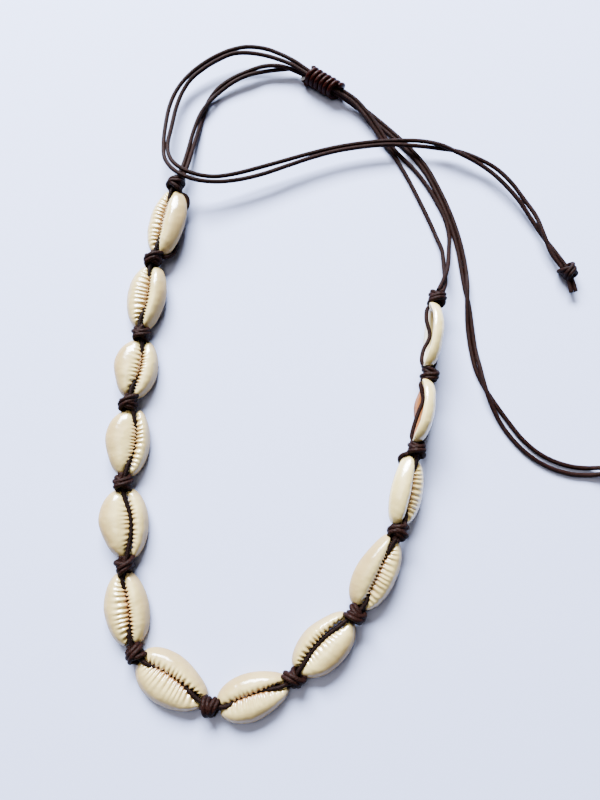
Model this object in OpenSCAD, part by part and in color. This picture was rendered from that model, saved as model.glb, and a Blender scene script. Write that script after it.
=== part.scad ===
// Cowrie shell necklace lying on a flat surface.
// Thirteen cowries, cut open at the back, sit between the two strands of a doubled cord.
// One strand lies in each toothed slot and the other crosses the open back.
// An overhand knot stands between neighbours, and both doubled ends run on as tie cords
// through one sliding knot to an end knot each.
// Millimetres, +Z up, origin at the middle of the row of shells on the surface.

/* [Cord] */
// Diameter of the waxed cord
cord_d = 1.1; // [0.9:0.05:1.15]
// Sides of a cord's section
cord_sides = 8; // [8:2:12]
// Gap between a strand's end and its knot
end_gap = 0.35; // [0.3:0.05:0.45]

/* [Shells] */
// Height of a cut shell, from its open back to the top of its lips
shell_h = 4.3; // [4:0.1:4.6]
// Thickness of a shell's wall
wall = 1.1; // [0.9:0.1:1.2]
// Width of the slot between two teeth that face each other
slot_w = 1.5; // [1.4:0.1:1.7]
// Depth of the gap between two neighbouring teeth
tooth_depth = 0.3; // [0.1:0.05:0.35]
// Length of the notch at each end of a shell
notch_len = 1.2; // [1.1:0.1:1.4]
// Thickness of the bridge that closes each end of the slot
bridge = 1.2; // [1:0.1:1.3]
// Sections along each lip, an odd number
lip_sections = 15; // [13:2:17]

/* [Knots] */
// Room that half a string knot takes along the string
knot_room = 1.95; // [1.95:0.05:2.2]
// Radius of a coil of a string knot, from its middle to the middle of the cord
coil_r = 1.3; // [1.2:0.05:1.35]
// Thickness of a coil, which is two strands together
coil_d = 1.9; // [1.7:0.1:1.9]
// Wraps of the sliding knot
wraps = 7; // [5:1:8]
// Distance from one wrap to the next
wrap_pitch = 1.5; // [1.2:0.1:1.5]

/* [Hidden] */

shell_cream = "#efe4c8";
cord_brown = "#3b2722";
knot_brown = "#55332a";
tie_knot_brown = "#6b3f33";

// Middle of each string knot, in the order of the string: across, along, height
knots = [
    [-28.5, 68.5, 4.6],
    [-34, 46.5, 3.8],
    [-36.5, 25.5, 3.3],
    [-38.5, 6.5, 4],
    [-39, -14, 3.8],
    [-37.5, -34.5, 3.4],
    [-34, -55, 2.4],
    [-15.5, -67, 2.3],
    [4.5, -61, 2.3],
    [19.5, -46, 3.7],
    [30.5, -26.5, 5.1],
    [35.5, -6, 5.9],
    [39.5, 13.5, 5.6],
    [42.5, 34.5, 5.3]
];

// Shells in the order of the string. Side and slot sizes are measured to the left of the string.
// width, roll: turn about the string that faces the shell to its right,
// side: shift of the shell off the string, face: shift towards the shell's face,
// slot: shift of the slot off the shell's middle, bow: how far the slot's middle stands out,
// sway: how far its ends part, egg: how much broader the shell's far end is than its near end,
// back: how far the back strand stands off the open back instead of lying in it.
WIDTH = 0;
ROLL = 1;
SIDE = 2;
FACE = 3;
SLOT = 4;
BOW = 5;
SWAY = 6;
EGG = 7;
BACK = 8;
shells = [
    [11, 22, 0, 0, 0, 0, 0.4, 0.05, 0],
    [11, 10, -0.7, 0, 0.3, 1, -0.1, 0, 0],
    [11.6, -13, 0.2, 0, 0.3, 1, -0.4, 0, 0],
    [11.4, -16, 0.5, 0, 0.7, 1.2, -0.4, 0, 0],
    [12.4, -12, 0, 0, 0.7, 1.2, 0.3, 0, 0],
    [11, -6, -0.9, 0, 0.1, 0.7, 0, 0.08, 0],
    [12, 0, -0.9, 0, 0.6, 0.9, 0.1, -0.1, 0],
    [11, 0, -1.2, 0, 0.3, 0.6, 0.2, -0.1, 0],
    [11.4, -4, 0.2, 0, 0.5, 0.9, 0, 0, 0],
    [10.8, 18, -0.3, 0, 0.2, 0.3, 0.5, -0.1, 0],
    [10, 42, -0.8, 0, 0.6, 0.3, 0.3, -0.1, 0],
    [11, 83, 0, 0.8, 0, 0.4, 0.2, 0, 0.9],
    [10.8, 86, 0, 0.4, 0, 0.4, -0.2, 0, 0.9]
];

// Routes of the two doubled tie cords, by the middle of the pair:
// across, along, height, half the distance between the strands, turn of one strand round the other
GAP = 3;
TURN = 4;
left_route = [
    [-27.7, 70.4, 4.5, 0.6, 0],
    [-26.5, 74.5, 3.6, 0.6, 0],
    [-25.4, 80.5, 2.4, 0.6, 0],
    [-24.2, 86.8, 1.6, 0.75, 10],
    [-22.7, 92.3, 1.3, 0.75, 70],
    [-20.7, 96.8, 1.4, 0.7, 130],
    [-17.6, 100.5, 1.8, 0.6, 180],
    [-13.6, 103.4, 2.3, 0.6, 180],
    [-9.3, 105.4, 2.6, 0.6, 180],
    [-4.5, 106.9, 2.6, 0.7, 225],
    [0.5, 107.4, 2.4, 0.7, 270],
    [4.8, 107, 2, 0.6, 340],
    [8.2, 105.3, 2.05, 0.6, 360],
    [13, 102.1, 2.05, 0.6, 360],
    [17.8, 98.9, 2.05, 0.6, 360],
    [22, 96, 1.6, 0.6, 360],
    [26.2, 92.7, 1, 0.6, 360],
    [30.2, 89.2, 0.7, 0.6, 360],
    [34.2, 85.3, 0.6, 0.6, 360],
    [38.1, 81, 0.6, 0.6, 360],
    [42, 75.6, 0.6, 0.6, 360],
    [45, 69.3, 0.6, 0.6, 360],
    [47.5, 62.9, 0.6, 0.6, 360],
    [49.3, 57, 0.6, 0.6, 360],
    [50.6, 51, 0.6, 0.6, 360],
    [51.3, 45, 0.8, 0.6, 370],
    [51.6, 39.5, 1.3, 0.7, 430],
    [51.9, 34, 1.2, 0.7, 490],
    [52.2, 28, 0.6, 0.7, 540],
    [52.7, 22, 0.6, 0.7, 540],
    [53.6, 16.4, 1.1, 0.7, 580],
    [55.1, 11.2, 1.3, 0.7, 640],
    [57.4, 6.1, 1, 0.7, 700],
    [60.2, 1.3, 0.6, 1, 720],
    [63.4, -3.1, 0.6, 1, 720],
    [67.2, -6.7, 0.6, 1, 720],
    [71.5, -9.2, 0.6, 1, 720],
    [76.2, -10.7, 0.6, 1, 720],
    [80.5, -11.1, 0.8, 0.9, 720],
    [83.5, -11, 1.6, 0.8, 720],
    [85.9, -11, 2.3, 0.6, 720]
];
right_route = [
    [43.6, 36.7, 5.1, 0.6, 0],
    [45, 39.7, 4.2, 0.7, 50],
    [45.8, 43.4, 3.2, 0.7, 110],
    [46.2, 47, 2.2, 0.7, 160],
    [46.4, 50.5, 1.3, 1, 180],
    [45.8, 54.6, 0.8, 1.6, 180],
    [44.5, 59.1, 0.6, 1.8, 180],
    [42.6, 63.9, 0.6, 1.8, 180],
    [40.1, 69.3, 0.6, 1.6, 180],
    [37.2, 74.7, 0.6, 1.2, 180],
    [33.7, 80, 0.8, 0.7, 180],
    [30.4, 84.4, 1.2, 0.6, 180],
    [27.4, 88.9, 2, 0.6, 180],
    [25.2, 92, 2.5, 0.6, 180],
    [22, 95.8, 2.9, 0.6, 180],
    [17.8, 98.9, 3.25, 0.6, 180],
    [13, 102.1, 3.25, 0.6, 180],
    [8.2, 105.3, 3.25, 0.6, 180],
    [4.2, 107.9, 3.7, 0.7, 180],
    [0, 109.9, 3.9, 0.9, 180],
    [-4.5, 111.3, 4.2, 1.1, 180],
    [-9.5, 111.8, 4.4, 1, 180],
    [-14, 111.1, 4.4, 0.7, 180],
    [-18.3, 109.2, 4.2, 0.7, 180],
    [-22.4, 106.7, 3.8, 0.7, 180],
    [-26.3, 103.3, 3.4, 0.7, 180],
    [-29.1, 99.1, 3, 0.9, 180],
    [-30.8, 94, 3, 1, 180],
    [-31.7, 87.5, 3.4, 0.9, 180],
    [-32, 81, 4.6, 0.6, 180],
    [-31, 75.7, 6, 0.7, 180],
    [-27.9, 71.7, 7, 0.8, 180],
    [-23, 69.6, 6.6, 0.8, 180],
    [-17.5, 69.5, 5.5, 0.8, 180],
    [-11.5, 70.7, 4.8, 1, 180],
    [-5, 72.7, 4.4, 1.1, 180],
    [2, 75.2, 4.2, 0.9, 180],
    [9, 77.7, 4, 0.7, 180],
    [16.5, 79.9, 3.8, 0.6, 180],
    [24.5, 81.4, 3.6, 0.6, 180],
    [32, 82.1, 3.5, 0.6, 180],
    [40, 81.9, 3.4, 0.7, 200],
    [46, 81, 3.2, 0.7, 260],
    [51.1, 79.3, 3.2, 0.7, 320],
    [56.1, 76.9, 3.1, 0.6, 360],
    [60.8, 73.8, 2.9, 0.9, 360],
    [64.8, 69.7, 2.7, 0.9, 360],
    [68.4, 64.7, 2.4, 0.7, 360],
    [71.4, 59.4, 2.3, 0.7, 400],
    [73.6, 54.2, 2.3, 0.7, 460],
    [75.8, 49.4, 2.3, 0.7, 520],
    [78.2, 45.4, 2.3, 0.6, 540]
];
left_end = [88, -11, 2.3];
right_end = [79.5, 43.5, 2.3];
// Row of each route at the middle of the sliding knot
LEFT_MIDDLE = 13;
RIGHT_MIDDLE = 16;

// Height of the string above a shell's cut back
string_z = 2.3;
// Least roll-off of the lips towards the tips of a shell
tip_height = 0.62;
// Half the angle of a shell's outline that its notch takes
notch_angle = 10;
// Heights of the bridge's underside and top above the cut back
bridge_low = 1.3;
bridge_high = 2.1;
// Depth of a lip's inner edge below its top
lip_depth = 1.3;
// Half the width of a bridge, at the slot and at the notch
bridge_half = 0.6;
notch_half = 0.72;
// Radius of the solid middle of a string knot
core_r = 1.75;
// Places and turns of the two coils of a knot
coil_shift = 0.8;
coil_tilt = 10;
// Heights of the front strand above the string's middle, at the knots and halfway along a shell
front_end_z = 0.62;
front_mid_z = 0.95;
// Height of the back strand below the string's middle, at the knots and in a shell
back_end_z = -0.62;
back_mid_z = -1.65;
// Share of a slot's shift that its strands keep where they enter a knot
end_share = 0.7;
// Distance from a shell's tip to the bend where the back strand enters the open back
back_bend = 1;
// Free length of a cut end behind an end knot
cut_len = 3.2;
// Half the angle between the two cut ends
cut_spread = 13;
// Clear radius through the sliding knot and radius of its wraps' cord
slide_bore_r = 1.5;
wrap_r = 0.55;

function unit(v) = v / norm(v);
function flat_angle(v) = atan2(v[1], v[0]);
function lean(v) = asin(v[2] / norm(v));
function last(list) = list[len(list) - 1];
function at(row) = [row[0], row[1], row[2]];

// Direction of a route at point i, from the points on both sides of it
function heading(path, i) =
    let (n = len(path) - 1)
    unit(at(path[min(i + 1, n)]) - at(path[max(i - 1, 0)]));
function leftward(t) = unit(cross([0, 0, 1], t));

// One strand of a doubled cord: side is 1 or -1
function strand_of(route, side) = [
    for (i = [0 : len(route) - 1])
        let (
            t = heading(route, i),
            left = leftward(t),
            turn = route[i][TURN]
        )
        at(route[i]) + side * route[i][GAP] * (cos(turn) * left + sin(turn) * cross(t, left))
];

// A cord swept along a path, as one closed solid with flat ends
module cord(path) {
    rings = len(path);
    points = [
        for (i = [0 : rings - 1])
            let (
                t = heading(path, i),
                left = leftward(t),
                up = cross(t, left)
            )
            for (k = [0 : cord_sides - 1])
                let (a = 360 * (k + 0.5) / cord_sides)
                path[i] + cord_d / 2 * (cos(a) * left + sin(a) * up)
    ];
    sides = [
        for (i = [0 : rings - 2])
            for (k = [0 : cord_sides - 1])
                let (
                    a = i * cord_sides + k,
                    b = i * cord_sides + (k + 1) % cord_sides
                )
                for (face = [[a, b + cord_sides, b], [a, a + cord_sides, b + cord_sides]])
                    face
    ];
    first_cap = [for (k = [0 : cord_sides - 1]) k];
    last_cap = [for (k = [cord_sides - 1 : -1 : 0]) (rings - 1) * cord_sides + k];
    polyhedron(points, concat(sides, [first_cap, last_cap]), convexity = 8);
}

// Sizes of shell i, counted from 0, which lies between knots i and i + 1
function span(i) = norm(knots[i + 1] - knots[i]);
function half_len(i) = span(i) / 2 - knot_room;
function slot_half(i) = half_len(i) - notch_len - bridge;
function slot_y(i, u) =
    let (s = shells[i])
    s[SIDE] + s[SLOT] + s[BOW] * (1 - u * u) + s[SWAY] * u;

// Moves a shell's own axes, with +X along the string, to the shell's place on the string
module on_string(i) {
    middle = (knots[i] + knots[i + 1]) / 2;
    along = knots[i + 1] - knots[i];
    translate(middle)
        rotate([0, -lean(along), flat_angle(along)])
            rotate([shells[i][ROLL], 0, 0])
                translate([0, 0, shells[i][FACE]])
                    children();
}

// A section of a shell runs from its slot edge out to its margin and back along the inside.
// A station gives it by angle round the shell: [angle, slot edge, margin, is it on the bridge, tooth]
function side_station(i, angle, tooth) =
    let (
        s = shells[i],
        u = cos(angle) / cos(notch_angle),
        side = sign(sin(angle)),
        edge = slot_w / 2 + (tooth ? 0 : tooth_depth * abs(sin(angle))),
        tip = (s[SLOT] + s[SWAY] * sign(cos(angle))) * pow(abs(cos(angle)), 4)
    )
    [
        angle,
        [slot_half(i) * u, slot_y(i, u) + side * edge],
        [half_len(i) * cos(angle), s[SIDE] + tip + s[WIDTH] / 2 * sin(angle) * (1 + s[EGG] * cos(angle))],
        false
    ];
function notch_station(i, end, side) =
    [
        end > 0 ? 0 : 180,
        [end * slot_half(i), slot_y(i, end) + side * bridge_half],
        [end * (half_len(i) - notch_len), slot_y(i, end) + side * notch_half],
        true
    ];
function stations(i) =
    let (
        last_lip = lip_sections - 1,
        step = (180 - 2 * notch_angle) / last_lip
    )
    concat(
        [notch_station(i, 1, 1)],
        [for (k = [0 : last_lip]) side_station(i, notch_angle + k * step, k % 2 == 0)],
        [notch_station(i, -1, 1), notch_station(i, -1, -1)],
        [for (k = [0 : last_lip]) side_station(i, 180 + notch_angle + k * step, k % 2 == 0)],
        [notch_station(i, 1, -1)]
    );

// Points of a section, as [share of the way from slot edge to margin, height above the cut back]
function lip_section(angle, reach) =
    let (
        top = shell_h * (tip_height + (1 - tip_height) * pow(abs(sin(angle)), 0.7)),
        rim = 0.96,
        inner_rim = rim - wall / reach
    )
    [
        [0, top * 0.86 - lip_depth],
        [0, top * 0.86],
        [0.18, top * 0.97],
        [0.42, top],
        [0.76, top * 0.8],
        [1, top * 0.4],
        [rim, 0],
        [inner_rim, 0],
        [min(inner_rim, 0.5), top - wall * 1.2]
    ];
function bridge_section() =
    [
        [0, bridge_low + 0.2],
        [0, bridge_high - 0.1],
        [0.18, bridge_high],
        [0.42, bridge_high],
        [0.76, bridge_high],
        [1, bridge_high - 0.3],
        [0.96, bridge_low],
        [0.25, bridge_low],
        [0.12, bridge_low + 0.1]
    ];
function section_points(station) =
    let (
        edge = station[1],
        margin = station[2],
        section = station[3] ? bridge_section() : lip_section(station[0], norm(margin - edge))
    )
    [
        for (p = section)
            let (place = edge + p[0] * (margin - edge))
            [place[0], place[1], p[1] - string_z]
    ];

module cowrie(i) {
    ring = stations(i);
    count = len(ring);
    per = len(bridge_section());
    points = [for (s = ring) each section_points(s)];
    faces = [
        for (s = [0 : count - 1])
            for (k = [0 : per - 1])
                let (
                    next = (s + 1) % count,
                    a = s * per + k,
                    b = s * per + (k + 1) % per,
                    c = next * per + (k + 1) % per,
                    d = next * per + k
                )
                for (face = [[a, b, c], [a, c, d]])
                    face
    ];
    color(shell_cream)
        on_string(i)
            polyhedron(points, faces, convexity = 6);
}

// Strand that lies in the slot of shell i
function front_path(i) =
    let (
        reach = span(i) / 2 - knot_room - end_gap,
        over = half_len(i) - notch_len - bridge / 2,
        inner = slot_half(i),
        knot_z = front_end_z - shells[i][FACE]
    )
    [
        [-reach, slot_y(i, -1) * end_share, knot_z],
        [-over, slot_y(i, -1), front_end_z],
        for (u = [-0.75 : 0.375 : 0.75])
            [inner * u, slot_y(i, u), front_end_z + (front_mid_z - front_end_z) * cos(80 * u)],
        [over, slot_y(i, 1), front_end_z],
        [reach, slot_y(i, 1) * end_share, knot_z]
    ];

// Strand that crosses the open back of shell i
function back_path(i) =
    let (
        reach = span(i) / 2 - knot_room - end_gap,
        under = half_len(i) - back_bend,
        knot_z = back_end_z - shells[i][FACE],
        mid_z = back_mid_z - shells[i][BACK]
    )
    [
        [-reach, slot_y(i, -1) * end_share, knot_z],
        [-under, slot_y(i, -1), mid_z],
        [-under / 2, slot_y(i, -1) / 2 + slot_y(i, 1) / 2, mid_z],
        [under / 2, slot_y(i, -1) / 2 + slot_y(i, 1) / 2, mid_z],
        [under, slot_y(i, 1), mid_z],
        [reach, slot_y(i, 1) * end_share, knot_z]
    ];

module front_strand() {
    color(cord_brown)
        for (i = [0 : len(shells) - 1])
            on_string(i)
                cord(front_path(i));
}

module back_strand() {
    color(cord_brown)
        for (i = [0 : len(shells) - 1])
            on_string(i)
                cord(back_path(i));
}

// Overhand knot in the doubled cord: two coils that lean against each other round a solid middle
module knot() {
    sphere(r = core_r, $fn = 32);
    for (side = [-1, 1])
        translate([side * coil_shift, 0, 0])
            rotate([0, 90 + side * 4, side * coil_tilt])
                rotate_extrude($fn = 48)
                    translate([coil_r, 0])
                        circle(d = coil_d, $fn = 32);
}

// Direction of the string at knot i, towards the next knot or the tie cord
function knot_heading(i) =
    let (
        before = i == 0 ? knots[0] : knots[i - 1],
        after = i == len(knots) - 1 ? last(knots) : knots[i + 1]
    )
    after - before;

module string_knot(i) {
    color(knot_brown)
        translate(knots[i])
            rotate([0, 0, flat_angle(knot_heading(i))])
                knot();
}

// End knot with its two cut ends. They leave the knot at a turn from the cord's direction.
module end_knot(place, direction, cut_turn) {
    color(knot_brown)
        translate(place)
            rotate([0, 0, direction]) {
                knot();
                for (side = [-1, 1])
                    rotate([0, 93, cut_turn + side * cut_spread])
                        cylinder(d = cord_d, h = knot_room + cut_len, $fn = 24);
            }
}

module left_end_knot() {
    end_knot(left_end, 0, 0);
}

module right_end_knot() {
    end_knot(right_end, -56, -22);
}

// Wraps of a separate cord round both doubled cords
module sliding_knot() {
    low = at(left_route[LEFT_MIDDLE]);
    high = at(right_route[RIGHT_MIDDLE]);
    direction = flat_angle(heading(left_route, LEFT_MIDDLE));
    color(tie_knot_brown)
        translate((low + high) / 2)
            rotate([0, 90, direction])
                rotate_extrude($fn = 64) {
                    for (k = [0 : wraps - 1])
                        translate([slide_bore_r + wrap_r, (k - (wraps - 1) / 2) * wrap_pitch])
                            circle(r = wrap_r, $fn = 32);
                    translate([slide_bore_r, -(wraps - 1) / 2 * wrap_pitch])
                        square([wrap_r, (wraps - 1) * wrap_pitch]);
                }
}

module tie(route, side) {
    color(cord_brown)
        cord(strand_of(route, side));
}

cowrie(0);  // cowrie_01
cowrie(1);  // cowrie_02
cowrie(2);  // cowrie_03
cowrie(3);  // cowrie_04
cowrie(4);  // cowrie_05
cowrie(5);  // cowrie_06
cowrie(6);  // cowrie_07
cowrie(7);  // cowrie_08
cowrie(8);  // cowrie_09
cowrie(9);  // cowrie_10
cowrie(10);  // cowrie_11
cowrie(11);  // cowrie_12
cowrie(12);  // cowrie_13
string_knot(0);  // string_knot_00
string_knot(1);  // string_knot_01
string_knot(2);  // string_knot_02
string_knot(3);  // string_knot_03
string_knot(4);  // string_knot_04
string_knot(5);  // string_knot_05
string_knot(6);  // string_knot_06
string_knot(7);  // string_knot_07
string_knot(8);  // string_knot_08
string_knot(9);  // string_knot_09
string_knot(10);  // string_knot_10
string_knot(11);  // string_knot_11
string_knot(12);  // string_knot_12
string_knot(13);  // string_knot_13
front_strand();
back_strand();
sliding_knot();
left_end_knot();
right_end_knot();
tie(left_route, 1);  // left_tie_inner
tie(left_route, -1);  // left_tie_outer
tie(right_route, 1);  // right_tie_inner
tie(right_route, -1);  // right_tie_outer
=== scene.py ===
# Cowrie shell necklace, laid on a plain pale surface
import math
import random

import bmesh
import bpy
from mathutils import Matrix, Vector, noise


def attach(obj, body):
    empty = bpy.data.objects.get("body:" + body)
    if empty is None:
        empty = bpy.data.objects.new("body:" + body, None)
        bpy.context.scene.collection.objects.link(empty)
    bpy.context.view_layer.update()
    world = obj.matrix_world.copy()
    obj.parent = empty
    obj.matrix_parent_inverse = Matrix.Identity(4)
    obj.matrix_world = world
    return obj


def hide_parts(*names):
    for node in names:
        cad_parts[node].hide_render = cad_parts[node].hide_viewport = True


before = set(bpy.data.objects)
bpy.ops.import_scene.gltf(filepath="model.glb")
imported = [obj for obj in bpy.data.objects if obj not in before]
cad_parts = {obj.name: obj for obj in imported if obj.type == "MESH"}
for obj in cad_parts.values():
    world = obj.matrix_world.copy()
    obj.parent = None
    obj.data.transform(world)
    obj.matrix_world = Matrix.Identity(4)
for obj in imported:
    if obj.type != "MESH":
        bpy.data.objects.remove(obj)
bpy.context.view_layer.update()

# The view
# A necklace photographed from above, a little from its lower side, on a pale table.
# One wide soft light stands beyond the far side, a little to the left, and a weak one hangs above.
# Places and sizes of the necklace are in millimetres until MM turns them into metres.
MM = 0.001
camera_data = bpy.data.cameras.new("picture_camera")
camera_data.lens = 27.9
camera_data.sensor_width = 36
camera_data.clip_start = 0.005
camera = bpy.data.objects.new("picture_camera", camera_data)
camera.location = Vector((6, -24.96, 161.98)) * MM
look_at = Vector((6, 8, 0)) * MM
camera.rotation_euler = (look_at - camera.location).to_track_quat("-Z", "Y").to_euler()
bpy.context.scene.collection.objects.link(camera)
bpy.context.scene.camera = camera


def soft_light(name, place, target, size, power, tint):
    """A wide lamp at a place, turned towards its target."""
    data = bpy.data.lights.new(name, "AREA")
    data.shape = "RECTANGLE"
    data.size = size[0]
    data.size_y = size[1]
    data.energy = power
    data.color = tint
    lamp = bpy.data.objects.new(name, data)
    lamp.location = place
    lamp.rotation_euler = (Vector(target) - Vector(place)).to_track_quat("-Z", "Y").to_euler()
    bpy.context.scene.collection.objects.link(lamp)


soft_light("window", place=(-0.2, 0.84, 0.62), target=(0, 0.02, 0), size=(0.75, 0.4), power=124,
           tint=(0.87, 0.93, 1))
soft_light("ceiling", place=(-0.3, 0.2, 1), target=(0, 0, 0), size=(0.8, 0.8), power=7,
           tint=(1, 0.92, 0.82))

# The room's dim warm light fills the shadows, and behind the table the room itself looks pale
world = bpy.data.worlds.new("pale_room")
world.use_nodes = True
room = world.node_tree.nodes
fill = room["Background"]
fill.inputs["Color"].default_value = (1, 0.84, 0.64, 1)
fill.inputs["Strength"].default_value = 0.045
wall = room.new("ShaderNodeBackground")
wall.inputs["Color"].default_value = (0.62, 0.69, 0.84, 1)
wall.inputs["Strength"].default_value = 2.4
chosen = room.new("ShaderNodeMixShader")
world.node_tree.links.new(room.new("ShaderNodeLightPath").outputs["Is Camera Ray"], chosen.inputs[0])
world.node_tree.links.new(fill.outputs[0], chosen.inputs[1])
world.node_tree.links.new(wall.outputs[0], chosen.inputs[2])
world.node_tree.links.new(chosen.outputs[0], room["World Output"].inputs["Surface"])
bpy.context.scene.world = world

# Table top
# A smooth pale board, a little bluish and almost dull, much wider than the picture.
# It lies a hair below the cords and the sawn edges, so that no face of theirs is in its own.
TABLE_HALF = 1.5
TABLE_BELOW = 0.02 * MM
floor_mesh = bpy.data.meshes.new("table_top")
floor_bm = bmesh.new()
bmesh.ops.create_grid(floor_bm, x_segments=1, y_segments=1, size=TABLE_HALF)
bmesh.ops.translate(floor_bm, verts=floor_bm.verts, vec=(0, 0, -TABLE_BELOW))
floor_bm.to_mesh(floor_mesh)
floor_bm.free()
floor = bpy.data.objects.new("table_top", floor_mesh)
bpy.context.scene.collection.objects.link(floor)

table_paint = bpy.data.materials.new("pale_table")
table_paint.use_nodes = True
paint = table_paint.node_tree.nodes["Principled BSDF"]
paint.inputs["Base Color"].default_value = (0.44, 0.49, 0.74, 1)
paint.inputs["Roughness"].default_value = 0.75
paint.inputs["Specular IOR Level"].default_value = 0.2
floor_mesh.materials.append(table_paint)


# Tie cords
# Two doubled ends of waxed, braided cotton cord, 1.1 mm thick, dark brown.
# They lie loose on the table in long curves, cross each other and run through the sliding knot.
CORD_R = 0.55 * MM
# The soft ties look a little plumper than the tight strands
TIE_R = 1.09 * CORD_R
TIE_SIDES = 14
# Length of cord from one ring of its mesh to the next, and steps from point to point of a route
CORD_STEP = 0.5 * MM
SPLINE_STEPS = 12
# Each row of a route is a place between the two strands, half their distance, and how far the
# pair is turned about its own line in degrees
ACROSS, ALONG, HEIGHT, GAP, TURN = range(5)
left_route = [
    (-27.7, 70.4, 4.5, 0.6, 0),
    (-26.5, 74.5, 3.6, 0.6, 0),
    (-25.4, 80.5, 2.4, 0.6, 0),
    (-24.2, 86.8, 1.6, 0.64, 10),
    (-22.7, 92.3, 1.3, 0.68, 70),
    (-20.7, 96.8, 1.4, 0.66, 130),
    (-17.6, 100.5, 1.8, 0.6, 180),
    (-13.6, 103.4, 2.3, 0.6, 180),
    (-9.3, 105.4, 2.6, 0.6, 180),
    (-4.5, 106.9, 2.6, 0.7, 225),
    (0.5, 107.4, 2.4, 0.7, 270),
    (4.8, 107, 2, 0.6, 340),
    (8.2, 105.3, 2.05, 0.6, 360),
    (13, 102.1, 2.05, 0.6, 360),
    (17.8, 98.9, 2.05, 0.6, 360),
    (22, 96, 1.6, 0.6, 360),
    (26.2, 92.7, 1, 0.6, 360),
    (30.2, 89.2, 0.7, 0.6, 360),
    (34.2, 85.3, 0.6, 0.6, 360),
    (38.1, 81, 0.6, 0.6, 360),
    (42, 75.6, 0.6, 0.6, 360),
    (45, 69.3, 0.6, 0.6, 360),
    (47.5, 62.9, 0.6, 0.6, 360),
    (49.3, 57, 0.6, 0.6, 360),
    (50.6, 51, 0.6, 0.6, 360),
    (51.3, 45, 0.8, 0.6, 370),
    (51.6, 39.5, 1.3, 0.66, 430),
    (51.9, 34, 1.2, 0.62, 490),
    (52.2, 28, 0.6, 0.6, 540),
    (52.7, 22, 0.6, 0.6, 540),
    (53.6, 16.4, 1.1, 0.64, 580),
    (55.1, 11.2, 1.3, 0.7, 640),
    (57.4, 6.1, 1, 0.7, 700),
    (60.2, 1.3, 0.6, 1, 720),
    (63.4, -3.1, 0.6, 1, 720),
    (67.2, -6.7, 0.6, 1, 720),
    (71.5, -9.2, 0.6, 1, 720),
    (76.2, -10.7, 0.6, 1, 720),
    (80.5, -11.1, 0.8, 0.9, 720),
    (83.5, -11, 1.6, 0.8, 720),
    (85.9, -11, 2.3, 0.6, 720),
]
right_route = [
    (43.6, 36.7, 5.1, 0.6, 0),
    (45, 39.7, 4.2, 0.7, 50),
    (45.8, 43.4, 3.2, 0.7, 110),
    (46.2, 47, 2.2, 0.7, 160),
    (46.4, 50.5, 1.3, 1, 180),
    (46, 54.6, 0.8, 1.8, 180),
    (44.9, 59.1, 0.6, 2.2, 180),
    (43, 63.9, 0.6, 2.2, 180),
    (40.5, 69.3, 0.6, 2, 180),
    (37.5, 74.7, 0.6, 1.5, 180),
    (33.7, 80, 0.8, 0.7, 180),
    (30.4, 84.4, 1.2, 0.6, 180),
    (27.4, 88.9, 2, 0.6, 180),
    (25.2, 92, 2.5, 0.6, 180),
    (22, 95.8, 2.9, 0.6, 180),
    (17.8, 98.9, 3.25, 0.6, 180),
    (13, 102.1, 3.25, 0.6, 180),
    (8.2, 105.3, 3.25, 0.6, 180),
    (4.2, 107.9, 3.7, 0.7, 180),
    (0, 109.9, 3.9, 0.9, 180),
    (-4.5, 111.3, 4.2, 1.1, 180),
    (-9.5, 111.8, 4.4, 1, 180),
    (-14, 111.1, 4.4, 0.7, 180),
    (-18.3, 109.2, 4.2, 0.7, 180),
    (-22.4, 106.7, 3.8, 0.7, 180),
    (-26.3, 103.3, 3.4, 0.7, 180),
    (-29.1, 99.1, 3, 0.9, 180),
    (-30.8, 94, 3, 1, 180),
    (-31.7, 87.5, 3.4, 0.9, 180),
    (-32, 81, 4.6, 0.6, 180),
    (-31, 75.7, 6, 0.7, 180),
    (-27.9, 71.7, 7, 0.8, 180),
    (-23, 69.6, 6.6, 0.8, 180),
    (-17.5, 69.5, 5.5, 0.8, 180),
    (-11.5, 70.7, 4.8, 1, 180),
    (-5, 72.7, 4.4, 1.1, 180),
    (2, 75.2, 4.2, 0.9, 180),
    (9, 77.7, 4, 0.7, 180),
    (16.5, 79.9, 3.8, 0.6, 180),
    (24.5, 81.4, 3.6, 0.6, 180),
    (32, 82.1, 3.5, 0.6, 180),
    (40, 81.9, 3.4, 0.7, 200),
    (46, 81, 3.2, 0.7, 260),
    (51.1, 79.3, 3.2, 0.7, 320),
    (56.1, 76.9, 3.1, 0.6, 360),
    (60.8, 73.8, 2.9, 0.9, 360),
    (64.8, 69.7, 2.7, 0.9, 360),
    (68.4, 64.7, 2.4, 0.7, 360),
    (71.4, 59.4, 2.3, 0.7, 400),
    (73.6, 54.2, 2.3, 0.7, 460),
    (75.8, 49.4, 2.3, 0.7, 520),
    (78.2, 45.4, 2.3, 0.6, 540),
]


def middle_of(row):
    return Vector((row[ACROSS], row[ALONG], row[HEIGHT])) * MM


def strand_of(route, side):
    """Points of the strand on one side of a route, 1 for the left and -1 for the right."""
    points = []
    last = len(route) - 1
    for i, row in enumerate(route):
        ahead = (middle_of(route[min(i + 1, last)]) - middle_of(route[max(i - 1, 0)])).normalized()
        left = Vector((0, 0, 1)).cross(ahead).normalized()
        turn = math.radians(row[TURN])
        away = math.cos(turn) * left + math.sin(turn) * ahead.cross(left)
        points.append(middle_of(row) + side * row[GAP] * MM * away)
    return points


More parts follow.
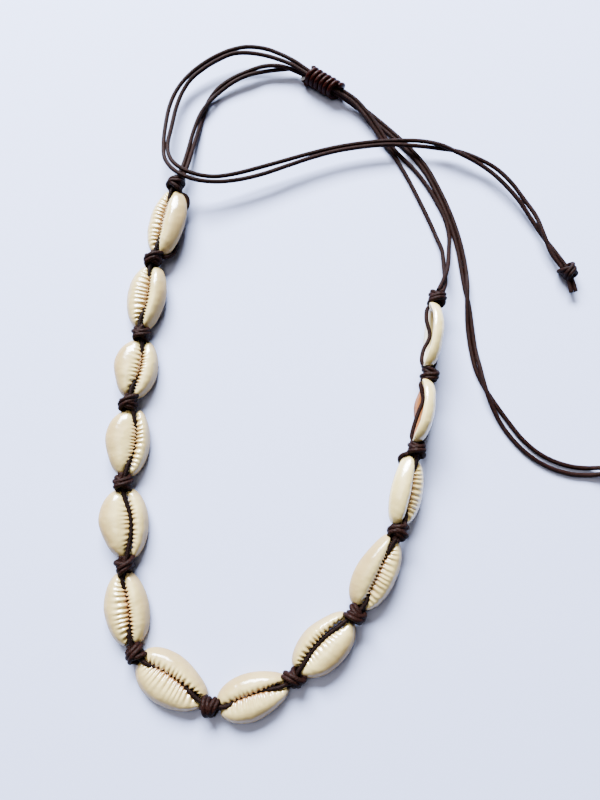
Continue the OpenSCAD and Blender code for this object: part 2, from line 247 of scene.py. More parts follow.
def smooth_path(points, step):
    """A smooth line through the points, as places a step apart."""
    fine = []
    last = len(points) - 1
    for i in range(last):
        a = points[max(i - 1, 0)]
        b = points[i]
        c = points[i + 1]
        d = points[min(i + 2, last)]
        for k in range(SPLINE_STEPS):
            t = k / SPLINE_STEPS
            fine.append(0.5 * (2 * b + (c - a) * t + (2 * a - 5 * b + 4 * c - d) * t ** 2
                               + (3 * b - a - 3 * c + d) * t ** 3))
    fine.append(points[last].copy())
    travelled = [0.0]
    for a, b in zip(fine, fine[1:]):
        travelled.append(travelled[-1] + (b - a).length)
    count = max(4, round(travelled[-1] / step))
    even = []
    k = 0
    for i in range(count + 1):
        target = travelled[-1] * i / count
        while k < len(fine) - 2 and travelled[k + 1] < target:
            k += 1
        share = (target - travelled[k]) / max(travelled[k + 1] - travelled[k], 1e-9)
        even.append(fine[k].lerp(fine[k + 1], min(share, 1)))
    return even


def lying(path, radius):
    """The path lifted where its cord would sink into the table."""
    return [Vector((point.x, point.y, max(point.z, radius))) for point in path]


def path_length(path):
    return sum((b - a).length for a, b in zip(path, path[1:]))


def roll_cord(bm, path, radius, sides):
    """A sheet rolled round the path into a cord with closed ends and a braid map."""
    uv = bm.loops.layers.uv.verify()
    rings = len(path)
    sheet = bmesh.ops.create_grid(bm, x_segments=sides, y_segments=rings - 1, size=0.5)["verts"]
    around = 2 * math.pi * radius
    length = path_length(path)
    for face in {face for vert in sheet for face in vert.link_faces}:
        face.smooth = True
        for loop in face.loops:
            loop[uv].uv = (loop.vert.co.x + 0.5, (loop.vert.co.y + 0.5) * length / around)
    frames = []
    up = Vector((0, 0, 1))
    for j in range(rings):
        ahead = (path[min(j + 1, rings - 1)] - path[max(j - 1, 0)]).normalized()
        if abs(ahead.dot(up)) > 0.99:
            # The cord runs on straight up here
            up = ahead.orthogonal()
        side = up.cross(ahead).normalized()
        up = ahead.cross(side).normalized()
        frames.append((side, up.copy()))
    ends = [[], []]
    for vert in sheet:
        turn = 2 * math.pi * (vert.co.x + 0.5)
        j = round((vert.co.y + 0.5) * (rings - 1))
        side, top = frames[j]
        vert.co = path[j] + radius * (math.cos(turn) * side + math.sin(turn) * top)
        if j in (0, rings - 1):
            ends[0 if j == 0 else 1].append(vert)
    seam = [vert for vert in sheet if vert.is_boundary]
    bmesh.ops.remove_doubles(bm, verts=seam, dist=radius * 0.01)
    for end in ends:
        # The order of the edges is kept, so that the caps are the same in each run
        edges_there = dict.fromkeys(edge for vert in end if vert.is_valid for edge in vert.link_edges)
        bmesh.ops.edgeloop_fill(bm, edges=[edge for edge in edges_there if edge.is_boundary])


def cord_piece(name, paths, radius, sides, material):
    """One piece of cord along all the paths."""
    bm = bmesh.new()
    for path in paths:
        roll_cord(bm, path, radius, sides)
    bmesh.ops.recalc_face_normals(bm, faces=bm.faces)
    mesh = bpy.data.meshes.new(name)
    bm.to_mesh(mesh)
    bm.free()
    mesh.materials.append(material)
    piece = bpy.data.objects.new(name, mesh)
    bpy.context.scene.collection.objects.link(piece)
    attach(piece, "root")
    return piece


def new_group(name, inputs, outputs):
    """An empty shader node group with named sockets."""
    group = bpy.data.node_groups.new(name, "ShaderNodeTree")
    for label, kind, value in inputs:
        socket = group.interface.new_socket(label, in_out="INPUT", socket_type=kind)
        if value is not None:
            socket.default_value = value
    for label, kind in outputs:
        group.interface.new_socket(label, in_out="OUTPUT", socket_type=kind)
    return group


def maths(nodes, links, operation, first, second=0.0):
    """A sum or the like of two numbers, each a plain one or another node's output."""
    node = nodes.new("ShaderNodeMath")
    node.operation = operation
    for k, value in enumerate((first, second)):
        if isinstance(value, (int, float)):
            node.inputs[k].default_value = value
        else:
            links.new(value, node.inputs[k])
    return node.outputs[0]


def mixed(nodes, links, factor, first, second):
    """A blend of two colours, each a plain one or another node's output."""
    node = nodes.new("ShaderNodeMix")
    node.data_type = "RGBA"
    links.new(factor, node.inputs["Factor"])
    for key, value in (("A", first), ("B", second)):
        if isinstance(value, tuple):
            node.inputs[key].default_value = (*value, 1)
        else:
            links.new(value, node.inputs[key])
    return node.outputs["Result"]


def ranged(nodes, links, mask, low, high):
    """A mask from 0 to 1 turned into a value from low to high."""
    node = nodes.new("ShaderNodeMapRange")
    node.inputs["To Min"].default_value = low
    node.inputs["To Max"].default_value = high
    links.new(mask, node.inputs["Value"])
    return node.outputs[0]


def relief_on(nodes, links, shader, height, strength, distance):
    """Fine relief in the surface, as a bump."""
    bump = nodes.new("ShaderNodeBump")
    bump.inputs["Strength"].default_value = strength
    bump.inputs["Distance"].default_value = distance
    links.new(height, bump.inputs["Height"])
    links.new(bump.outputs[0], shader.inputs["Normal"])


def braid_effect():
    """Crossing carriers of a round braid, as a height and a mask of the grooves between them."""
    group = new_group(
        "round_braid",
        [("Map", "NodeSocketVector", None), ("Carriers", "NodeSocketFloat", 4.0),
         ("Lay", "NodeSocketFloat", 3.0)],
        [("Height", "NodeSocketFloat"), ("Groove", "NodeSocketFloat")],
    )
    nodes = group.nodes
    links = group.links
    source = nodes.new("NodeGroupInput")
    split = nodes.new("ShaderNodeSeparateXYZ")
    links.new(source.outputs["Map"], split.inputs[0])
    round_part = maths(nodes, links, "MULTIPLY", split.outputs["X"], source.outputs["Carriers"])
    long_part = maths(nodes, links, "MULTIPLY", split.outputs["Y"], source.outputs["Lay"])
    waves = []
    for operation in ("ADD", "SUBTRACT"):
        phase = maths(nodes, links, operation, round_part, long_part)
        wave = maths(nodes, links, "SINE", maths(nodes, links, "MULTIPLY", phase, 2 * math.pi))
        waves.append(wave)
    top = maths(nodes, links, "MAXIMUM", waves[0], waves[1])
    height = maths(nodes, links, "MULTIPLY", maths(nodes, links, "ADD", top, 1.0), 0.5)
    groove = maths(nodes, links, "SUBTRACT", 1.0, height)
    sink = nodes.new("NodeGroupOutput")
    links.new(height, sink.inputs["Height"])
    links.new(groove, sink.inputs["Groove"])
    return group


def patch_effect():
    """Soft patches of uneven colour, from 0 to 1."""
    group = new_group(
        "uneven_patches",
        [("Place", "NodeSocketVector", None), ("Scale", "NodeSocketFloat", 100.0),
         ("Contrast", "NodeSocketFloat", 1.0)],
        [("Patches", "NodeSocketFloat")],
    )
    nodes = group.nodes
    links = group.links
    source = nodes.new("NodeGroupInput")
    cloud = nodes.new("ShaderNodeTexNoise")
    cloud.inputs["Detail"].default_value = 4
    links.new(source.outputs["Place"], cloud.inputs["Vector"])
    links.new(source.outputs["Scale"], cloud.inputs["Scale"])
    centred = maths(nodes, links, "SUBTRACT", cloud.outputs[0], 0.5)
    stretched = maths(nodes, links, "MULTIPLY", centred, source.outputs["Contrast"])
    moved = nodes.new("ShaderNodeClamp")
    links.new(maths(nodes, links, "ADD", stretched, 0.5), moved.inputs[0])
    sink = nodes.new("NodeGroupOutput")
    links.new(moved.outputs[0], sink.inputs["Patches"])
    return group


round_braid = braid_effect()
uneven_patches = patch_effect()


def patches_on(nodes, links, place, scale, contrast):
    """The uneven patches laid over a piece, scale patches to a metre."""
    patches = nodes.new("ShaderNodeGroup")
    patches.node_tree = uneven_patches
    patches.inputs["Scale"].default_value = scale
    patches.inputs["Contrast"].default_value = contrast
    links.new(place.outputs["Object"], patches.inputs["Place"])
    return patches.outputs["Patches"]


def waxed_cord(name, deep, light, bloom, roughness, relief_depth):
    """Waxed braided cotton: dark in the grooves and browner on the carriers' tops, as painted shade and
    painted light, with a greyish bloom.
    """
    material = bpy.data.materials.new(name)
    material.use_nodes = True
    nodes = material.node_tree.nodes
    links = material.node_tree.links
    shader = nodes["Principled BSDF"]
    cord_map = nodes.new("ShaderNodeUVMap")
    place = nodes.new("ShaderNodeTexCoord")
    braid = nodes.new("ShaderNodeGroup")
    braid.node_tree = round_braid
    braid.inputs["Carriers"].default_value = 5
    braid.inputs["Lay"].default_value = 6
    links.new(cord_map.outputs[0], braid.inputs["Map"])
    bloom_patches = patches_on(nodes, links, place, scale=260, contrast=2.6)
    speckle = patches_on(nodes, links, place, scale=2600, contrast=3.5)
    # Painted shade in the braid's grooves and painted light on the carriers' tops, in speckles
    tops = maths(nodes, links, "POWER", braid.outputs["Height"], 3.0)
    braid_painted_light_and_shade = mixed(nodes, links, maths(nodes, links, "MULTIPLY", tops, speckle), deep, light)
    bloomed = maths(nodes, links, "MULTIPLY", bloom_patches, 0.35)
    links.new(mixed(nodes, links, bloomed, braid_painted_light_and_shade, bloom), shader.inputs["Base Color"])
    # The patches with more wax are a little smoother
    waxiness = ranged(nodes, links, bloom_patches, roughness + 0.12, roughness - 0.06)
    links.new(waxiness, shader.inputs["Roughness"])
    relief = maths(nodes, links, "ADD", braid.outputs["Height"],
                   maths(nodes, links, "MULTIPLY", speckle, 0.5))
    relief_on(nodes, links, shader, relief, strength=0.8, distance=relief_depth)
    shader.inputs["Specular IOR Level"].default_value = 0.04
    return material


cord_finish = waxed_cord(
    "waxed_brown_cord", deep=(0.0012, 0.0003, 0.0002), light=(0.03, 0.01, 0.0075),
    bloom=(0.009, 0.003, 0.0022), roughness=0.5, relief_depth=0.07 * MM)
for node, route, side, end_knot in (
    ("left_tie_inner", left_route, 1, "left_end_knot"),
    ("left_tie_outer", left_route, -1, "left_end_knot"),
    ("right_tie_inner", right_route, 1, "right_end_knot"),
    ("right_tie_outer", right_route, -1, "right_end_knot"),
):
    path = lying(smooth_path(strand_of(route, side), CORD_STEP), TIE_R)
    tie = cord_piece(node + "_cord", [path], TIE_R, TIE_SIDES, cord_finish)
    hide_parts(node)


# String knots
# Overhand knots in both strands together, one between every two shells, pulled tight.
# Each shows two bands of the doubled cord round the string, at a slight slant.
KNOTS = [
    (-28.5, 68.5, 4.6),
    (-34, 46.5, 3.8),
    (-36.5, 25.5, 3.3),
    (-38.5, 6.5, 4),
    (-39, -14, 3.8),
    (-37.5, -34.5, 3.4),
    (-34, -55, 2.4),
    (-15.5, -67, 2.3),
    (4.5, -61, 2.3),
    (19.5, -46, 3.7),
    (30.5, -26.5, 5.1),
    (35.5, -6, 5.9),
    (39.5, 13.5, 5.6),
    (42.5, 34.5, 5.3),
]
knot_places = [Vector(knot) for knot in KNOTS]
# How each knot is turned about the string in degrees, how much its bands slant, its breadth,
# and how far its two strands twist about each other in degrees
KNOT_TURN, KNOT_SLANT, KNOT_BREADTH, KNOT_TWIST = range(4)
KNOT_LOOKS = [
    (170, 0.15, 1.05, 20),
    (140, -0.2, 1.05, -30),
    (110, 0.2, 1.08, 30),
    (155, -0.1, 1.08, -20),
    (125, 0.2, 1.05, 25),
    (95, -0.2, 1.08, -30),
    (150, 0.15, 1.08, 30),
    (200, 0.1, 1, -20),
    (120, -0.2, 1.05, 30),
    (160, 0.2, 1.08, -30),
    (75, -0.15, 1.08, 30),
    (130, 0.2, 1.05, -30),
    (180, 0.2, 1.05, 20),
    (145, 0.15, 1.05, -20),
]
KNOT_CORD_R = 0.6 * MM
# Course of the doubled cord through a knot: how far along the string and out from it, and round it
# in degrees
KNOT_COURSE = [
    (-2.3, 0.5, 0),
    (-1, 0.6, 20),
    (0.4, 0.85, 60),
    (1.2, 1.25, 110),
    (1.3, 1.6, 170),
    (0.95, 1.7, 235),
    (0.45, 1.7, 300),
    (-0.1, 1.7, 365),
    (-0.6, 1.7, 430),
    (-1.1, 1.7, 495),
    (-1.4, 1.65, 555),
    (-0.95, 1.95, 615),
    (0, 2.15, 670),
    (0.9, 1.95, 725),
    (1.5, 1.3, 780),
    (2.3, 0.5, 810),
]
# Half the distance of the two strands, how flat the knot is pressed, how uneven its bands are
# along the string and outwards, and the lowest level of a strand's middle
PAIR_HALF = 0.5
KNOT_FLAT = 0.94
KNOT_UNEVEN_ALONG = 0.12
KNOT_UNEVEN_OUT = 0.05
KNOT_LOWEST = 0.66
KNOT_SIDES = 12
KNOT_STEP = 0.3 * MM


def knot_strands(course, look, rng):
    """Paths of both strands of a doubled cord, in the knot's own axes, in millimetres."""
    middles = []
    outward = []
    for along, out, around in course:
        angle = math.radians(around + look[KNOT_TURN])
        spoke = Vector((0, math.cos(angle), math.sin(angle)))
        shift = rng.uniform(-KNOT_UNEVEN_ALONG, KNOT_UNEVEN_ALONG)
        slanted = along + look[KNOT_SLANT] * out * math.cos(angle) + shift
        place = out * (1 + rng.uniform(-KNOT_UNEVEN_OUT, KNOT_UNEVEN_OUT)) * spoke
        middles.append(Vector((slanted, place.y * look[KNOT_BREADTH], place.z * KNOT_FLAT)))
        outward.append(spoke)
    strands = [[], []]
    last = len(middles) - 1
    for i, middle in enumerate(middles):
        ahead = (middles[min(i + 1, last)] - middles[max(i - 1, 0)]).normalized()
        twist = math.radians(look[KNOT_TWIST]) * math.sin(math.pi * i / last)
        beside = Matrix.Rotation(twist, 3, ahead) @ ahead.cross(outward[i]).normalized()
        strands[0].append(middle + PAIR_HALF * beside)
        strands[1].append(middle - PAIR_HALF * beside)
    return strands


def set_on(strands, place, heading, step):
    """Turns the strands to a heading, moves them to their place and smooths them, in metres."""
    turned = Matrix.Rotation(heading, 4, "Z")
    placed = []
    for strand in strands:
        points = lying([turned @ point + place for point in strand], KNOT_LOWEST)
        placed.append(smooth_path([point * MM for point in points], step))
    return placed


knot_finish = waxed_cord(
    "waxed_brown_knot", deep=(0.0018, 0.0005, 0.0003), light=(0.02, 0.0065, 0.0045),
    bloom=(0.017, 0.006, 0.0045), roughness=0.46, relief_depth=0.05 * MM)
for i, place in enumerate(knot_places):
    along = knot_places[min(i + 1, len(knot_places) - 1)] - knot_places[max(i - 1, 0)]
    strands = knot_strands(KNOT_COURSE, KNOT_LOOKS[i], random.Random(i))
    paths = set_on(strands, place, math.atan2(along.y, along.x), KNOT_STEP)
    knot = cord_piece("string_knot_%02d_tied" % i, paths, KNOT_CORD_R, KNOT_SIDES, knot_finish)
    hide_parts("string_knot_%02d" % i)


# End knots
# The last overhand knot of each doubled end, with the two cut ends of the cord behind it.
# They lie side by side, sink a little towards the table and bend apart at their tips.
# Length of a cut end and of its straight part, and its distance from the middle
CUT_LENGTH = 5.9
CUT_STRAIGHT = 3.6
CUT_BESIDE = 0.5
# How far its straight part spreads and its tip bends in radians, and how much each falls
CUT_SPREAD = math.radians(1)
CUT_BEND = 0.03
CUT_FALL = 0.05
TIP_FALL = 0.08
# Node, place, heading and how far the cut ends turn off it in degrees, and the knot's look
END_KNOTS = [
    ("left_end_knot", (88, -11, 2.3), 0, 0, (150, 0.2, 1, 20)),
    ("right_end_knot", (79.5, 43.5, 2.3), -56, -22, (115, 0.2, 1.05, -20)),
]
end_knots = {}
for node, place, heading, cut_turn, look in END_KNOTS:
    rng = random.Random(len(end_knots) + 30)
    strands = knot_strands(KNOT_COURSE, look, rng)
    paths = set_on(strands, Vector(place), math.radians(heading), KNOT_STEP)
    for side in (-1, 1):
        way = math.radians(heading + cut_turn) + side * CUT_SPREAD
        far = Vector((math.cos(way), math.sin(way), -CUT_FALL))
        bent_way = way + side * CUT_BEND
        bent = Vector((math.cos(bent_way), math.sin(bent_way), -TIP_FALL))
        start = Vector(place) + side * CUT_BESIDE * Vector((-math.sin(way), math.cos(way), 0))
        points = [start + far * 0.4, start + far * 2, start + far * CUT_STRAIGHT,
                  start + far * CUT_STRAIGHT + bent * (CUT_LENGTH - CUT_STRAIGHT)]
        paths.append(smooth_path([point * MM for point in points], KNOT_STEP))
    piece = cord_piece(node + "_tied", paths, CORD_R, KNOT_SIDES, knot_finish)
    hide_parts(node)
    end_knots[node] = piece


# Sliding knot
# A shorter length of the same cord, reddish brown, wrapped seven times round both doubled cords.
# It grips them, and slides to make the necklace longer or shorter.
WRAPS = 7
WRAP_CORD_R = 0.72 * MM
# From wrap to wrap, from the knot's middle to a wrap's, its slant and how uneven it is, and the
# steps of a turn
WRAP_PITCH = 1.5
WRAP_OUT = 2.05
WRAP_SLANT = 0.55
WRAP_UNEVEN = 0.04
WRAP_STEPS = 16
WRAP_STEP = 0.25 * MM
# It sits where both routes run straight and one on top of the other
slide_place = Vector((13, 102.1, 2.65))
slide_heading = math.atan2(98.9 - 105.3, 17.8 - 8.2)
random.seed(5)
# Two leads run side by side, half a turn apart, and show as the seven wraps
turns = WRAPS / 2 - 0.25
slide_paths = []
for lead in (0, 1):
    coil = []
    for k in range(round(turns * WRAP_STEPS) + 1):
        angle = 2 * math.pi * (k / WRAP_STEPS + lead / 2)
        along = (k / WRAP_STEPS - turns / 2) * 2 * WRAP_PITCH
        out = WRAP_OUT + random.uniform(-WRAP_UNEVEN, WRAP_UNEVEN)
        beside = out * math.cos(angle)
        coil.append(Vector((along + WRAP_SLANT * beside, beside, out * math.sin(angle))))
    slide_paths.append(coil)
# Two short cut ends of the wrapping cord, at the near left and far left of the knot
slide_paths.append([Vector((-4, -1.2, -0.6)), Vector((-4.4, -2.1, -1)), Vector((-5, -2.7, -1.3))])
slide_paths.append([Vector((-4.3, 1.2, 0.8)), Vector((-4.9, 1.9, 1)), Vector((-5.1, 2.2, 1.1))])
slide_finish = waxed_cord(
    "waxed_red_brown_cord", deep=(0.0015, 0.0003, 0.0002), light=(0.03, 0.005, 0.003),
    bloom=(0.02, 0.004, 0.003), roughness=0.32, relief_depth=0.03 * MM)
wraps = set_on(slide_paths, slide_place, slide_heading, WRAP_STEP)
sliding_knot = cord_piece("sliding_knot_wraps", wraps, WRAP_CORD_R, KNOT_SIDES, slide_finish)
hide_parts("sliding_knot")


# Cowrie shells
# Small cowries with the back sawn off, so that each is a low open cup with a toothed slot on top.
# The lips are glossy and cream, with ribs that run out from the slot, and warm brown inside it, partly their
# own colour and partly painted shade.
# Their crowns carry painted light, and their grooves and flanks painted shade.
# Height of a shell, and thickness of its wall at the sides and under its lips
SHELL_H = 4.3
WALL = 1.1
ROOF = 1.15
# A tip's share of the height, the string's height over the sawn edge, half the length that a knot
# takes of the string, and how far a shell's tips reach over that
TIP_SHARE = 0.46
STRING_Z = 2.3
KNOT_ROOM = 1.95
TIP_OVER = 0.7
# Length and half breadth of the notch for the cord at each tip, and the way from it to the slot
NOTCH = 1.4
NOTCH_HALF = 0.95
NOTCH_TO_SLOT = 0.35
# Pitch and rise of the ribs. A lip whose ribs are shorter than the limit has fine teeth instead.
RIB_PITCH = 1.15
RIB_RISE = 1.35
FINE_LIMIT = 0.25
TOOTH_PITCH = 0.88
FINE_TOOTH = 0.42
# The share of a lip that its teeth take, and how far the lip is drawn back between them
TOOTH_SHARE = 0.12
TOOTH_BACK = 0.12
# The height of the brown stain on the lower side of shells 12 and 13
STAIN_H = 1.2
# A shell that leans more than this many degrees gets no painted shade on its flanks, and its flanks are as
# glossy as its crown
STEEP = 30
# Steps round a shell and rows of its inner wall
STATIONS = 360
INNER_ROWS = 7
# Each shell: width, roll about the string in degrees, shift of its middle to the left, lift of its
# face, shift, bow and sway of its slot, swell of its far half, and drop of the strand at its back
WIDTH, ROLL, SIDE, FACE, SLOT, BOW, SWAY, EGG, BACK = range(9)
SHELLS = [
    (11, 22, 0, 0, 0, 0, 0.4, 0.05, 0),
    (11, 10, -0.7, 0, 0.3, 1, -0.1, 0, 0),
    (11.6, -13, 0.2, 0, 0.3, 1, -0.4, 0, 0),
    (11.4, -16, 0.5, 0, 0.7, 1.2, -0.4, 0, 0),
    (12.4, -12, 0, 0, 0.7, 1.2, 0.3, 0, 0),
    (11, -6, -0.9, 0, 0.1, 0.7, 0, 0.08, 0),
    (12, 0, -0.9, 0, 0.6, 0.9, 0.1, -0.1, 0),
    (11, 0, -1.2, 0, 0.3, 0.6, 0.2, -0.1, 0),
    (11.4, -4, 0.2, 0, 0.5, 0.9, 0, 0, 0),
    (10.8, 18, -0.3, 0, 0.2, 0.3, 0.5, -0.1, 0),
    (10, 42, -0.8, 0, 0.6, 0.3, 0.3, -0.1, 0),
    (11, 83, 0, 0.8, 0, 0.4, 0.2, 0, 0.9),
    (10.8, 86, 0, 0.4, 0, 0.4, -0.2, 0, 0.9),
]
# Looks of each shell: length and depth of the ribs on the lip to the left of the string and on
# the lip to its right, half the slot's width at the near end, middle and far end of the shell,
# depth of the strand under the lips there, how much brown and painted shade its slot and inside get,
# how far the sawn edge on its left is hollowed, how much its far end draws in on the left and on the right,
# how much deeper the strand lies in the near half than in the far half, and how far a bit of the back stands
# out
L_RIB, L_DEEP, R_RIB, R_DEEP, NEAR, MID, FAR, SINK, WARM, HOLLOW, L_TUCK, R_TUCK, TILT, STUB = range(14)
LOOKS = [
    (0.2, 0.22, 0.66, 0.36, 0.34, 0.34, 0.45, 1.2, 0.7, 0, 0.04, 0.04, 0, 0),
    (0.22, 0.24, 0.66, 0.38, 0.34, 0.34, 0.58, 1.1, 0.7, 0, 0.06, 0.02, 0.2, 0),
    (0.22, 0.24, 0.42, 0.3, 0.35, 0.32, 0.65, 0.9, 0.8, 0, 0.02, 0.14, 0.2, 0),
    (0.62, 0.42, 0.16, 0.2, 0.33, 0.34, 0.55, 0.6, 0.6, 0, 0.02, 0.14, 0, 0),
    (0.34, 0.26, 0.32, 0.18, 0.45, 0.58, 0.75, 0.1, 0.3, 0, 0, 0.18, 0, 0),
    (0.2, 0.24, 0.68, 0.42, 0.3, 0.32, 0.65, 1, 0.9, 0, 0, 0.08, 0.3, 0),
    (0.62, 0.38, 0.68, 0.34, 0.16, 0.26, 0.85, 0.85, 0.9, 0, 0.04, 0.04, 0.7, 0),
    (0.32, 0.28, 0.56, 0.26, 0.14, 0.28, 0.8, 0.85, 0.9, 0, 0.02, 0.1, 0.7, 0),
    (0.58, 0.36, 0.34, 0.18, 0.42, 0.7, 0.8, 0.2, 0.3, 0, 0.1, 0, 0, 0),
    (0.22, 0.26, 0.64, 0.36, 0.24, 0.26, 0.62, 1, 0.8, 0, 0.06, 0, 0.3, 0),
    (0.16, 0.18, 0.62, 0.36, 0.28, 0.28, 0.26, 1.2, 0.7, 0, 0, 0, 0, 0),
    (0.3, 0.24, 0.4, 0.26, 0.55, 0.6, 0.55, 0.3, 1, 1.3, 0, 0, 0, 0.9),
    (0.3, 0.24, 0.4, 0.26, 0.55, 0.6, 0.55, 0.3, 0.15, 1.3, 0, 0, 0, 0),
]
# Course of a lip's surface: share of the way from the slot to the margin and share of the lip's
# height. It starts low in the slot, goes over the lip to the margin and returns inside the shell.
LIP_COURSE = [
    (0.1, 0.58), (0.03, 0.62), (-0.02, 0.68), (-0.03, 0.74), (-0.02, 0.8), (0.02, 0.855), (0.08, 0.905),
    (0.15, 0.945), (0.23, 0.975), (0.32, 0.995), (0.41, 1), (0.5, 0.985), (0.59, 0.95), (0.68, 0.895),
    (0.76, 0.825), (0.83, 0.74), (0.89, 0.64), (0.945, 0.53), (0.98, 0.42), (1, 0.31), (0.995, 0.2),
    (0.965, 0.09), (0.91, 0),
]


def between(low, high, share):
    return low + (high - low) * share


def ease(edge, value):
    t = min(max(value / edge, 0), 1)
    return t * t * (3 - 2 * t)


def shell_frame(i):
    """Place of shell i: X along the string, Z out of its face, origin on the string."""
    middle = (knot_places[i] + knot_places[i + 1]) / 2
    along = knot_places[i + 1] - knot_places[i]
    lean = math.asin(along.z / along.length)
    return (Matrix.Translation(middle) @ Matrix.Rotation(math.atan2(along.y, along.x), 4, "Z")
            @ Matrix.Rotation(-lean, 4, "Y") @ Matrix.Rotation(math.radians(SHELLS[i][ROLL]), 4, "X")
            @ Matrix.Translation((0, 0, SHELLS[i][FACE])))


def slot_line(i, u):
    """Where the slot's middle lies across the shell, u from -1 at its near tip to 1 at its far tip."""
    shell = SHELLS[i]
    return shell[SIDE] + shell[SLOT] + shell[BOW] * (1 - u * u) + shell[SWAY] * u


def slot_half_width(i, u):
    look = LOOKS[i]
    return between(look[MID], look[NEAR] if u < 0 else look[FAR], abs(u) ** 1.4)


def slot_edge(i, reach, u, turn):
    """Edge of the slot at a step round the shell, turn from -1 on its right to 1 on its left."""
    closing = min(abs(turn) / 0.2, 1)
    gap = slot_half_width(i, u) * math.sqrt(1 - (1 - closing) ** 2)
    return Vector((reach * u, slot_line(i, u) + math.copysign(gap, turn)))


def margin_point(i, half, u, turn):
    """Outline of the shell at the same step, with a notch at each tip for the cord."""
    shell = SHELLS[i]
    tip = (shell[SLOT] + shell[SWAY] * math.copysign(1, u)) * u ** 4
    notch = NOTCH * math.exp(-(turn * shell[WIDTH] / 2 / NOTCH_HALF) ** 2)
    tuck = LOOKS[i][L_TUCK if turn >= 0 else R_TUCK] * ease(1, (u + 0.2) / 0.8)
    swell = abs(turn) ** 0.94 * (1 + shell[EGG] * u) * (1 - tuck)
    return Vector(((half - notch) * u, shell[SIDE] + tip + math.copysign(shell[WIDTH] / 2 * swell, turn)))


